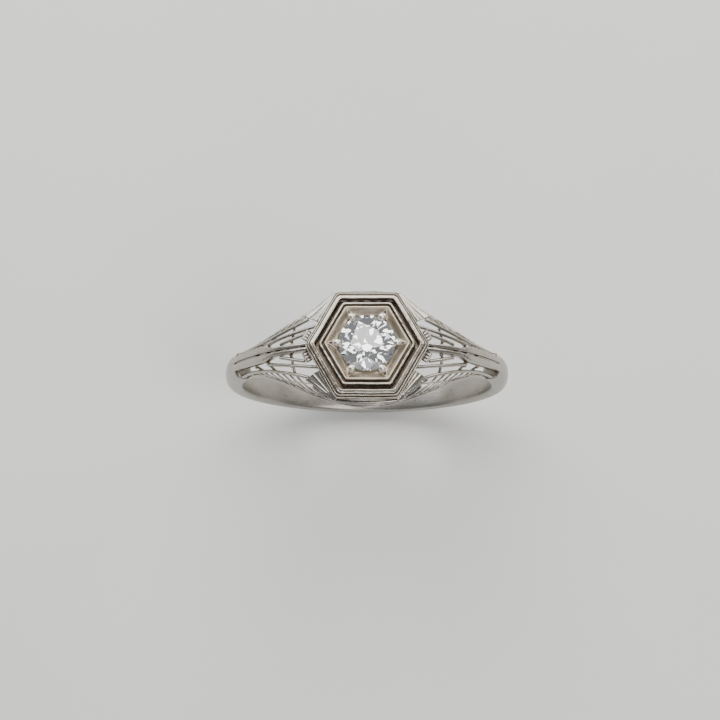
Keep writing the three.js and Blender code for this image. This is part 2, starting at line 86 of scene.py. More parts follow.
# ---------- node trees ----------
class TreeWriter:
    """Adds and links the nodes of one shader or geometry tree."""

    def __init__(self, tree: bpy.types.NodeTree) -> None:
        """Keep the tree that is written."""
        self.tree = tree

    def node(self, kind: str, inputs: Inputs | None = None, **settings) -> bpy.types.Node:
        """Add a node.

        Args:
            kind: The node's type name.
            inputs: Socket names or numbers, each with a socket to link or a value to set.
            settings: The node's own properties.

        Returns:
            The new node.
        """
        node = self.tree.nodes.new(kind)
        for name, value in settings.items():
            setattr(node, name, value)
        for name, value in (inputs or {}).items():
            socket = node.inputs[name]
            if isinstance(name, str):
                socket = next(found for found in node.inputs if found.name == name and found.enabled)
            if isinstance(value, bpy.types.NodeSocket):
                self.tree.links.new(value, socket)
            else:
                socket.default_value = value
        return node

    def take(self, kind: str, inputs: Inputs | None = None, **settings) -> bpy.types.NodeSocket:
        """Add a node and return its first output in use."""
        node = self.node(kind, inputs, **settings)
        return next(socket for socket in node.outputs if socket.enabled)

    def math(self, operation: str, *values: Value) -> bpy.types.NodeSocket:
        """Add a Math node and return its result."""
        return self.take("ShaderNodeMath", dict(enumerate(values)), operation=operation)

    def vector(self, operation: str, *values: Value) -> bpy.types.NodeSocket:
        """Add a Vector Math node and return its result."""
        return self.take("ShaderNodeVectorMath", dict(enumerate(values)), operation=operation)

    def scaled(self, vector: Value, factor: Value) -> bpy.types.NodeSocket:
        """Scale a vector by a number."""
        return self.take("ShaderNodeVectorMath", {0: vector, "Scale": factor}, operation="SCALE")

    def ranged(self, value: Value, low: Value, high: Value, to_low: Value = 0.0, to_high: Value = 1.0,
               smooth: bool = False) -> bpy.types.NodeSocket:
        """Map a value from one range to another, clamped.

        Args:
            value: What is mapped.
            low: Start of its range.
            high: End of its range.
            to_low: Result at the start.
            to_high: Result at the end.
            smooth: Whether the change eases in and out.

        Returns:
            The mapped value.
        """
        inputs = {"Value": value, "From Min": low, "From Max": high, "To Min": to_low, "To Max": to_high}
        kind = "SMOOTHSTEP" if smooth else "LINEAR"
        return self.take("ShaderNodeMapRange", inputs, interpolation_type=kind)


class ShapeTree(TreeWriter):
    """A geometry tree with named inputs, which is run on an object and leaves a plain mesh."""

    def __init__(self, name: str, inputs: dict[str, str]) -> None:
        """Start the tree.

        Args:
            name: The tree's name.
            inputs: Each input's label, with its kind of socket.
        """
        super().__init__(bpy.data.node_groups.new(name, "GeometryNodeTree"))
        face = self.tree.interface
        face.new_socket("Geometry", in_out="INPUT", socket_type="NodeSocketGeometry")
        face.new_socket("Geometry", in_out="OUTPUT", socket_type="NodeSocketGeometry")
        kinds = inputs | {"Material": "Material"}
        self.sockets = {
            label: face.new_socket(label, in_out="INPUT", socket_type=f"NodeSocket{kind}").identifier
            for label, kind in kinds.items()
        }
        self.start = self.tree.nodes.new("NodeGroupInput")

    def given(self, label: str) -> bpy.types.NodeSocket:
        """Return the socket of a named input."""
        return self.start.outputs[label]

    def end(self, geometry: bpy.types.NodeSocket) -> None:
        """Finish the tree with real geometry, smooth faces and the material."""
        realized = self.take("GeometryNodeRealizeInstances", {"Geometry": geometry})
        smooth = self.take("GeometryNodeSetShadeSmooth", {"Geometry": realized})
        dressed = self.take("GeometryNodeSetMaterial", {
            "Geometry": smooth, "Material": self.given("Material")})
        self.node("NodeGroupOutput", {0: dressed})

    def run(self, obj: bpy.types.Object, values: dict[str, Value]) -> bpy.types.Object:
        """Run the tree on an object.

        Args:
            obj: A mesh or curve object, whose own modifiers run first and are then removed.
            values: The tree's inputs by label.

        Returns:
            A mesh object with the result, which takes the place of the one given.
        """
        modifier = obj.modifiers.new(self.tree.name, "NODES")
        modifier.node_group = self.tree
        for label, value in values.items():
            modifier[self.sockets[label]] = value
        return plain_mesh(obj)


def plain_mesh(obj: bpy.types.Object) -> bpy.types.Object:
    """Replace an object and its modifiers by a mesh object of the same name with their result."""
    name = obj.name
    if obj.name not in bpy.context.scene.collection.objects:
        bpy.context.scene.collection.objects.link(obj)
    depsgraph = bpy.context.evaluated_depsgraph_get()
    mesh = bpy.data.meshes.new_from_object(
        obj.evaluated_get(depsgraph), preserve_all_data_layers=True, depsgraph=depsgraph)
    bpy.data.objects.remove(obj)
    mesh.name = name
    made = bpy.data.objects.new(name, mesh)
    bpy.context.scene.collection.objects.link(made)
    return made


class WornSurface(ShapeTree):
    """Rounds a mesh and gives it the small dents and waviness of hand-finished metal."""

    def __init__(self) -> None:
        """Write the tree."""
        super().__init__("worn_surface", {
            "Level": "Int", "Crease": "Float", "Blur": "Int", "Swell": "Float",
            "Dent Depth": "Float", "Dent Size": "Float", "Wobble": "Float", "Seed": "Float",
        })
        sharp_edge = math.radians(50)
        wobble_size = 1.3
        angle = self.take("GeometryNodeInputMeshEdgeAngle")
        crease = self.math("MULTIPLY", self.math("GREATER_THAN", angle, sharp_edge), self.given("Crease"))
        round_mesh = self.take("GeometryNodeSubdivisionSurface", {
            "Mesh": self.start.outputs["Geometry"], "Level": self.given("Level"), "Edge Crease": crease})
        place = self.take("GeometryNodeInputPosition")
        blurred = self.take("GeometryNodeBlurAttribute", {
            "Value": place, "Iterations": self.given("Blur")}, data_type="FLOAT_VECTOR")
        soft = self.take("GeometryNodeSetPosition", {"Geometry": round_mesh, "Position": blurred})
        dents = self.node("ShaderNodeTexNoise", {
            "Vector": place, "W": self.given("Seed"), "Detail": 1.5,
            "Scale": self.math("DIVIDE", 1.0, self.given("Dent Size")),
        }, noise_dimensions="4D")
        about_zero = self.math("SUBTRACT", dents.outputs[0], 0.5)
        depth = self.math("MULTIPLY", about_zero, self.given("Dent Depth"))
        outward = self.math("MULTIPLY_ADD", depth, 2.0, self.given("Swell"))
        normal = self.take("GeometryNodeInputNormal")
        waves = self.node("ShaderNodeTexNoise", {"Vector": place, "Scale": 1 / wobble_size, "Detail": 0.0})
        sway = self.vector("SUBTRACT", waves.outputs[1], (0.5, 0.5, 0.5))
        drift = self.scaled(sway, self.given("Wobble"))
        offset = self.vector("ADD", self.scaled(normal, outward), drift)
        self.end(self.take("GeometryNodeSetPosition", {"Geometry": soft, "Offset": offset}))


class HexMoulding(ShapeTree):
    """Sweeps a closed profile round the head and squares the round to six sides, corners towards X."""

    def __init__(self) -> None:
        """Write the tree."""
        super().__init__("hex_moulding", {
            "Steps": "Int", "Corner Sharpness": "Float", "Fillet": "Float"})
        turn = 2 * math.pi / HEX_SIDES
        profile = self.take("GeometryNodeFilletCurve", {
            "Curve": self.start.outputs["Geometry"], "Count": 4, "Radius": self.given("Fillet"),
            "Limit Radius": True}, mode="POLY")
        circle = self.take("GeometryNodeCurvePrimitiveCircle", {
            "Resolution": self.given("Steps"), "Radius": SWEEP_RADIUS})
        swept = self.take("GeometryNodeCurveToMesh", {"Curve": circle, "Profile Curve": profile})
        place = self.take("GeometryNodeInputPosition")
        parts = self.node("ShaderNodeSeparateXYZ", {0: place}).outputs
        azimuth = self.math("ARCTAN2", parts[1], parts[0])
        in_side = self.math("FLOORED_MODULO", azimuth, turn)
        from_flat = self.math("ABSOLUTE", self.math("SUBTRACT", in_side, turn / 2))
        sharpness = self.given("Corner Sharpness")
        near = self.math("POWER", self.math("COSINE", from_flat), sharpness)
        next_side = self.math("COSINE", self.math("SUBTRACT", turn, from_flat))
        total = self.math("ADD", near, self.math("POWER", next_side, sharpness))
        reach = self.math("POWER", total, self.math("DIVIDE", -1.0, sharpness))
        across = self.math("MULTIPLY", parts[0], reach)
        along = self.math("MULTIPLY", parts[1], reach)
        squared = self.take("ShaderNodeCombineXYZ", {0: across, 1: along, 2: parts[2]})
        self.end(self.take("GeometryNodeSetPosition", {"Geometry": swept, "Position": squared}))


class EngravedFan(ShapeTree):
    """Cuts fine grooves that fan out from one corner of a plate."""

    def __init__(self) -> None:
        """Write the tree."""
        super().__init__("engraved_fan", {
            "Corner": "Vector", "Along": "Vector", "Outward": "Vector", "Spread": "Float",
            "Grooves": "Float", "Depth": "Float",
        })
        groove_sharpness = 3.0
        steep, level = 0.3, 0.6
        first_cut, full_cut = 0.15, 0.8
        plain_edge, full_edge = 0.98, 0.9
        place = self.take("GeometryNodeInputPosition")
        from_corner = self.vector("SUBTRACT", place, self.given("Corner"))
        along = self.dot(from_corner, self.given("Along"))
        outward = self.dot(from_corner, self.given("Outward"))
        share = self.math("DIVIDE", self.math("ARCTAN2", outward, along), self.given("Spread"))
        phase = self.math("MULTIPLY", self.math("MULTIPLY", share, self.given("Grooves")), math.tau)
        wave = self.math("MULTIPLY_ADD", self.math("COSINE", phase), 0.5, 0.5)
        groove = self.math("POWER", wave, groove_sharpness)
        normal = self.take("GeometryNodeInputNormal")
        upward = self.node("ShaderNodeSeparateXYZ", {0: normal}).outputs[2]
        on_top = self.math("MULTIPLY", groove, self.ranged(upward, steep, level))
        inside = self.ranged(along, first_cut, full_cut)
        edge = self.ranged(share, plain_edge, full_edge)
        cut = self.math("MULTIPLY", on_top, self.math("MULTIPLY", inside, edge))
        depth = self.math("MULTIPLY", cut, self.math("MULTIPLY", self.given("Depth"), -1.0))
        self.end(self.take("GeometryNodeSetPosition", {
            "Geometry": self.start.outputs["Geometry"], "Offset": self.scaled(normal, depth)}))

    def dot(self, first: Value, second: Value) -> bpy.types.NodeSocket:
        """Return the dot product of two vectors."""
        node = self.node("ShaderNodeVectorMath", {0: first, 1: second}, operation="DOT_PRODUCT")
        return node.outputs["Value"]


class SolderBeads(ShapeTree):
    """Puts a small uneven bead of solder on each point."""

    def __init__(self) -> None:
        """Write the tree."""
        super().__init__("solder_beads", {"Radius": "Float", "Seed": "Int"})
        bead = self.take("GeometryNodeMeshIcoSphere", {"Radius": self.given("Radius"), "Subdivisions": 3})
        seed = self.given("Seed")
        smallest, largest = 0.8, 1.2
        flattest, fullest = (0.85, 0.85, 0.75), (1.25, 1.15, 0.95)
        size = self.random(smallest, largest, seed, "FLOAT")
        turn = self.random((0.0, 0.0, 0.0), (math.tau, math.tau, math.tau), seed, "FLOAT_VECTOR")
        shape = self.random(flattest, fullest, self.math("ADD", seed, 1), "FLOAT_VECTOR")
        points = self.take("GeometryNodeMeshToPoints", {"Mesh": self.start.outputs["Geometry"]})
        self.end(self.take("GeometryNodeInstanceOnPoints", {
            "Points": points, "Instance": bead, "Rotation": turn, "Scale": self.scaled(shape, size)}))

    def random(self, low: Value, high: Value, seed: Value, kind: str) -> bpy.types.NodeSocket:
        """Return a random value for each point."""
        return self.take("FunctionNodeRandomValue", {"Min": low, "Max": high, "Seed": seed}, data_type=kind)


class SolderRun(ShapeTree):
    """Runs a round fillet of solder along a path."""

    def __init__(self) -> None:
        """Write the tree."""
        super().__init__("solder_run", {"Radius": "Float"})
        path = self.take("GeometryNodeMeshToCurve", {"Mesh": self.start.outputs["Geometry"]})
        section = self.take("GeometryNodeCurvePrimitiveCircle", {
            "Resolution": 12, "Radius": self.given("Radius")})
        self.end(self.take("GeometryNodeCurveToMesh", {
            "Curve": path, "Profile Curve": section, "Fill Caps": True}))


class TarnishAndShade(ShapeTree):
    """Stores how deep each point lies in a recess, by looking round it for other metal; the finishes darken
    the colour by it, as tarnish and as painted shade.
    """

    def __init__(self, looks: int = 26) -> None:
        """Write the tree.

        Args:
            looks: Directions in which each point looks.
        """
        super().__init__("tarnish", {"Ring": "Object", "Reach": "Float"})
        lift = 0.012
        ring = self.node("GeometryNodeObjectInfo", {0: self.given("Ring")}).outputs["Geometry"]
        normal = self.take("GeometryNodeInputNormal")
        eye = self.vector("ADD", self.take("GeometryNodeInputPosition"), self.scaled(normal, lift))
        hidden, total = 0.0, 0.0
        for i in range(looks):
            direction = self.direction(i, looks)
            node = self.node("ShaderNodeVectorMath", {0: normal, 1: direction}, operation="DOT_PRODUCT")
            facing = self.math("MAXIMUM", node.outputs["Value"], 0.0)
            ray = self.node("GeometryNodeRaycast", {
                "Target Geometry": ring, "Source Position": eye, "Ray Direction": direction,
                "Ray Length": self.given("Reach")})
            share = self.math("DIVIDE", ray.outputs["Hit Distance"], self.given("Reach"))
            near = self.math("SUBTRACT", 1.0, share)
            met = self.math("MULTIPLY", ray.outputs["Is Hit"], near)
            hidden = self.math("MULTIPLY_ADD", facing, met, hidden)
            total = self.math("ADD", facing, total)
        self.end(self.take("GeometryNodeStoreNamedAttribute", {
            "Geometry": self.start.outputs["Geometry"], "Name": RECESS,
            "Value": self.math("DIVIDE", hidden, total)}, data_type="FLOAT", domain="POINT"))

    @staticmethod
    def direction(index: int, count: int) -> Point:
        """Return one of the directions spread evenly over a sphere by the golden angle."""
        golden_angle = math.pi * (3 - math.sqrt(5))
        height = 1 - 2 * (index + 0.5) / count
        flat = math.sqrt(1 - height ** 2)
        return (flat * math.cos(index * golden_angle), flat * math.sin(index * golden_angle), height)


# ---------- finishes ----------
@dataclass(frozen=True)
class GoldFinish:
    """White gold with fine scratches and casting pits, turning tan in its recesses (tarnish, partly painted
    shade) and near black in the deepest ones (painted shade). Sizes in millimetres.
    """

    name: str
    slot: str
    bright: Colour = (0.6, 0.57, 0.51)
    # The tan colour in recesses is tarnish and partly painted shade; the near-black colour after it is
    # painted shade in the deepest recesses.
    tan: Colour = (0.25, 0.195, 0.145)
    painted_shade: Colour = (0.022, 0.017, 0.013)
    roughness: float = 0.2
    tarnish_and_shade_start: float = 0.12
    tarnish_and_shade_full: float = 0.62
    painted_shade_start: float = 0.6
    painted_shade_full: float = 0.95
    patchiness: float = 0.35
    scratch_depth: float = 0.0012
    pit_depth: float = 0.006
    cloud_scale: float = 0.9
    grime_scale: float = 5.5
    pit_scale: float = 3.2
    pitted_share: float = 0.38

    def material(self) -> bpy.types.Material:
        """Write the finish as a material."""
        material = bpy.data.materials.new(self.name)
        material.use_nodes = True
        tree = TreeWriter(material.node_tree)
        place = tree.take("ShaderNodeMapping", {
            "Vector": tree.node("ShaderNodeTexCoord").outputs["Object"], "Scale": (1 / MM,) * 3})
        clouds = tree.take("ShaderNodeTexNoise", {
            "Vector": place, "Scale": self.cloud_scale, "Detail": 4.0})
        grime = tree.take("ShaderNodeTexNoise", {
            "Vector": place, "Scale": self.grime_scale, "Detail": 5.0, "Roughness": 0.65})
        recess = tree.node("ShaderNodeAttribute", attribute_name=RECESS).outputs["Fac"]
        patches = tree.math("MULTIPLY", tree.math("SUBTRACT", clouds, 0.5), self.patchiness)
        specks = tree.math("MULTIPLY", tree.math("SUBTRACT", grime, 0.5), self.patchiness)
        depth = tree.math("ADD", recess, tree.math("ADD", patches, specks))
        # Painted shade: the deeper a point lies in a recess, the more it turns tan (partly real tarnish)
        # and then near black.
        tarnish = tree.ranged(depth, self.tarnish_and_shade_start, self.tarnish_and_shade_full, smooth=True)
        painted_shade = tree.ranged(depth, self.painted_shade_start, self.painted_shade_full, smooth=True)
        warm = self.blend(tree, tree.ranged(clouds, 0.35, 0.65), self.bright, self.warmed())
        colour = self.blend(tree, painted_shade, self.blend(tree, tarnish, warm, self.tan), self.painted_shade)
        wear_dulls, tarnish_dulls, metal_in_painted_shade = 0.14, 0.22, 0.35
        worn = tree.ranged(grime, 0.35, 0.7, self.roughness, self.roughness + wear_dulls)
        roughness = tree.math("MULTIPLY_ADD", tarnish, tarnish_dulls, worn)
        # The deepest painted shade is also made less metallic.
        metallic = tree.ranged(painted_shade, 0.0, 1.0, 1.0, metal_in_painted_shade)
        shader = material.node_tree.nodes["Principled BSDF"]
        for name, socket in (("Base Color", colour), ("Roughness", roughness), ("Metallic", metallic)):
            material.node_tree.links.new(socket, shader.inputs[name])
        bump = tree.take("ShaderNodeBump", {
            "Strength": 1.0, "Distance": MM, "Height": self.relief(tree, place, grime)})
        material.node_tree.links.new(bump, shader.inputs["Normal"])
        return material

    def warmed(self) -> Colour:
        """Return the bright colour where it has yellowed a little."""
        yellowing = (0.93, 0.9, 0.85)
        return tuple(channel * kept for channel, kept in zip(self.bright, yellowing))

    def relief(self, tree: TreeWriter, place: Value, grime: Value) -> bpy.types.NodeSocket:
        """Return the height of scratches, pits and grime, in millimetres.

        Args:
            tree: The material's tree.
            place: Place on the ring in millimetres.
            grime: Fine noise.

        Returns:
            The height.
        """
        height = tree.math("MULTIPLY", grime, 2 * self.scratch_depth)
        for turn in (0.5, 2.1):
            brushed = tree.take("ShaderNodeMapping", {
                "Vector": place, "Rotation": (turn, turn / 2, turn), "Scale": (1.2, 9.0, 9.0)})
            strokes = tree.take("ShaderNodeTexNoise", {"Vector": brushed, "Scale": 1.0, "Detail": 2.0})
            height = tree.math("MULTIPLY_ADD", strokes, 2 * self.scratch_depth, height)
        cells = tree.node("ShaderNodeTexVoronoi", {"Vector": place, "Scale": self.pit_scale})
        hollow = tree.ranged(cells.outputs["Distance"], 0.05, 0.2, 1.0, 0.0, smooth=True)
        lot = tree.node("ShaderNodeSeparateColor", {0: cells.outputs["Color"]}).outputs[0]
        chosen = tree.math("GREATER_THAN", lot, 1 - self.pitted_share)
        pits = tree.math("MULTIPLY", tree.math("MULTIPLY", hollow, chosen), -self.pit_depth)
        return tree.math("ADD", height, pits)

    @staticmethod
    def blend(tree: TreeWriter, factor: Value, first: Value, second: Value) -> bpy.types.NodeSocket:
        """Mix two colours, each a socket or its red, green and blue."""
        sockets = {"Factor": factor}
        for name, colour in (("A", first), ("B", second)):
            sockets[name] = colour if isinstance(colour, bpy.types.NodeSocket) else (*colour, 1.0)
        node = tree.node("ShaderNodeMix", sockets, data_type="RGBA")
        return next(socket for socket in node.outputs if socket.enabled)


@dataclass(frozen=True)
class GemFinish:
    """Clear diamond with a trace of dust on its facets."""

    name: str
    slot: str
    tint: Colour = (0.97, 0.985, 1.0)
    refraction: float = 2.417

    def material(self) -> bpy.types.Material:
        """Write the finish as a material."""
        material = bpy.data.materials.new(self.name)
        material.use_nodes = True
        tree = TreeWriter(material.node_tree)
        shader = material.node_tree.nodes["Principled BSDF"]
        shader.inputs["IOR"].default_value = self.refraction
        shader.inputs["Transmission Weight"].default_value = 1.0
        place = tree.take("ShaderNodeMapping", {
            "Vector": tree.node("ShaderNodeTexCoord").outputs["Object"], "Scale": (1 / MM,) * 3})
        dust = tree.take("ShaderNodeTexNoise", {"Vector": place, "Scale": 7.0, "Detail": 3.0})
        film = tree.ranged(dust, 0.62, 0.8, 0.0, 0.05)
        material.node_tree.links.new(film, shader.inputs["Roughness"])
        depth = tree.take("ShaderNodeTexNoise", {"Vector": place, "Scale": 0.8, "Detail": 1.0})
        tint = GoldFinish.blend(tree, depth, self.tint, (1.0, 1.0, 1.0))
        material.node_tree.links.new(tint, shader.inputs["Base Color"])
        return material


class Finish(Enum):
    """The ring's finishes."""

    FRAME = GoldFinish("frame_white_gold", "head_gold", bright=(0.42, 0.395, 0.345), roughness=0.14,
                       tarnish_and_shade_start=0.12, painted_shade_start=0.55)
    CUP = GoldFinish("cup_white_gold", "head_gold", bright=(0.6, 0.54, 0.45), tan=(0.42, 0.34, 0.255),
                     roughness=0.34, tarnish_and_shade_start=0.45, tarnish_and_shade_full=0.95, painted_shade_start=0.9, painted_shade_full=1.3,
                     patchiness=0.12, scratch_depth=0.0004, pit_depth=0.001)
    # The claws are the same white gold as the frame, given a far brighter colour: a painted highlight on
    # the beads.
    CLAW = GoldFinish("claw_white_gold", "bright_gold", bright=(0.88, 0.85, 0.79), roughness=0.22,
                      tarnish_and_shade_start=0.45, tarnish_and_shade_full=0.9, painted_shade_start=0.85, painted_shade_full=1.15, patchiness=0.1)
    FILIGREE = GoldFinish("filigree_white_gold", "filigree_gold", bright=(0.42, 0.4, 0.36), roughness=0.14,
                          tarnish_and_shade_start=0.18, tarnish_and_shade_full=0.7, painted_shade_start=0.65)
    BAND = GoldFinish("band_white_gold", "plain_gold", bright=(0.38, 0.365, 0.335), roughness=0.27,
                      scratch_depth=0.002)
    GEM = GemFinish("cut_diamond", "diamond")


# ---------- how pieces are worked ----------
@dataclass(frozen=True)
class Work:
    """How a copy of a piece of the frame is refined. Sizes in millimetres."""

    level: int = 0
    crease: float = 0.0
    voxel: float = 0.0
    blur: int = 0
    swell: float = 0.0
    dent_depth: float = 0.008
    dent_size: float = 0.35
    wobble: float = 0.03


class Craft(Enum):
    """The ways in which the ring's pieces were made."""

    DRAWN_WIRE = Work(level=2, crease=0.3, swell=0.018, dent_depth=0.012, dent_size=0.22, wobble=0.05)
    HEAVY_WIRE = Work(level=2, crease=0.3, swell=0.002, dent_depth=0.012, dent_size=0.4)
    FORGED_BAND = Work(level=2, crease=0.8, dent_depth=0.01, dent_size=1.1, wobble=0.0)
    CAST = Work(voxel=0.03, blur=3, dent_depth=0.008, dent_size=0.3)
    CAST_WALL = Work(voxel=0.045, blur=2, dent_depth=0.008, dent_size=0.5, wobble=0.02)


@dataclass
class Piece:
    """A worked piece: its object, its finish and the nodes of the frame that it stands for."""

    obj: bpy.types.Object
    finish: Finish
    nodes: tuple[str, ...] = ()


@dataclass
class Bench:
    """Where pieces are worked, kept together and at last set in the frame."""

    pieces: list[Piece] = field(default_factory=list)
    recess_reach: float = 1.1

    def __post_init__(self) -> None:
        """Write the shape trees and the materials."""
        self.worn = WornSurface()
        self.moulding = HexMoulding()
        self.engraving = EngravedFan()
        self.beads = SolderBeads()
        self.solder_run = SolderRun()
        self.tarnish = TarnishAndShade()
        self.materials = {finish: finish.value.material() for finish in Finish}

    def add(self, obj: bpy.types.Object, finish: Finish, *nodes: str) -> None:
        """Keep a worked piece with its finish and the frame's nodes that it stands for."""
        self.pieces.append(Piece(obj, finish, nodes))
        log.info("%s: %d faces, %s", obj.name, len(obj.data.polygons), finish.value.name)

    def wear(self, obj: bpy.types.Object, work: Work, finish: Finish) -> bpy.types.Object:
        """Give a mesh its rounding, dents and material."""
        if work.voxel:
            remesh = obj.modifiers.new("cast", "REMESH")
            remesh.mode = "VOXEL"
            remesh.voxel_size = work.voxel
        return self.worn.run(obj, {
            "Level": work.level, "Crease": work.crease, "Blur": work.blur, "Swell": work.swell,
            "Dent Depth": work.dent_depth, "Dent Size": work.dent_size, "Wobble": work.wobble,
            "Seed": 0.0, "Material": self.materials[finish],
        })

    def work_node(self, node: str, craft: Craft, finish: Finish) -> None:
        """Refine a copy of one of the frame's nodes and keep it."""
        self.add(self.wear(frame_copy(node), craft.value, finish), finish, node)

    def set_in_frame(self) -> None:
        """Store the recesses, turn every piece to metres and set it on the ring's body."""
        ring = self.whole_ring()
        for piece in self.pieces:
            if piece.finish is not Finish.GEM:
                # The recess mask sets where the finishes paint tarnish and painted shade.
                piece.obj = self.tarnish.run(piece.obj, {
                    "Ring": ring, "Reach": self.recess_reach, "Material": self.materials[piece.finish]})
            piece.obj.data.transform(Matrix.Scale(MM, 4))
            piece.obj.data.update()
            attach(piece.obj, "root")
            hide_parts(*piece.nodes)
        bpy.data.objects.remove(ring)

    def whole_ring(self) -> bpy.types.Object:
        """Return one mesh of all the pieces, which only serves to find recesses."""
        whole = bmesh.new()
        for piece in self.pieces:
            whole.from_mesh(piece.obj.data)
        return mesh_object("whole_ring", whole)


def mesh_object(name: str, shape: bmesh.types.BMesh) -> bpy.types.Object:
    """Turn a bmesh into a linked object."""
    mesh = bpy.data.meshes.new(name)
    shape.to_mesh(mesh)
    shape.free()
    obj = bpy.data.objects.new(name, mesh)
    bpy.context.scene.collection.objects.link(obj)
    return obj


def frame_copy(node: str) -> bpy.types.Object:
    """Return a merged copy of one of the frame's nodes, in millimetres, as quads where it can be."""
    merge_gap = 0.0005
    shape = bmesh.new()
    shape.from_mesh(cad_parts[node].data)
    bmesh.ops.scale(shape, vec=(1 / MM,) * 3, verts=shape.verts)
    bmesh.ops.remove_doubles(shape, verts=shape.verts, dist=merge_gap)
    fold, skew = math.radians(35), math.radians(50)
    bmesh.ops.join_triangles(
        shape, faces=shape.faces, angle_face_threshold=fold, angle_shape_threshold=skew)
    for face in shape.faces:
        face.material_index = 0
    return mesh_object(f"{node}_worked", shape)


def box_mm(node: str) -> tuple[Vector, Vector]:
    """Return a frame node's lowest and highest corners in millimetres."""
    low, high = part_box(node)
    return low / MM, high / MM


# ---------- the head ----------
@dataclass(frozen=True)
class Lump:
    """One rounded lump of a claw, from the bead's middle outward and down from the claw's top."""

    outward: float
    depth: float
    size: Point


@dataclass(frozen=True)
class CutWall:
    """Sizes of the thin walls that the graver leaves in the cup's corner behind a bead."""

    corner_gap: float = 0.2
    start_gap: float = 0.02
    end_gap: float = 0.12
    end_spread: float = 0.34
    bow: float = 0.05
    foot: float = 0.06
    least_width: float = 0.03
    more_width: float = 0.04
    least_height: float = 0.1
    more_height: float = 0.12
    crest_share: float = 0.25


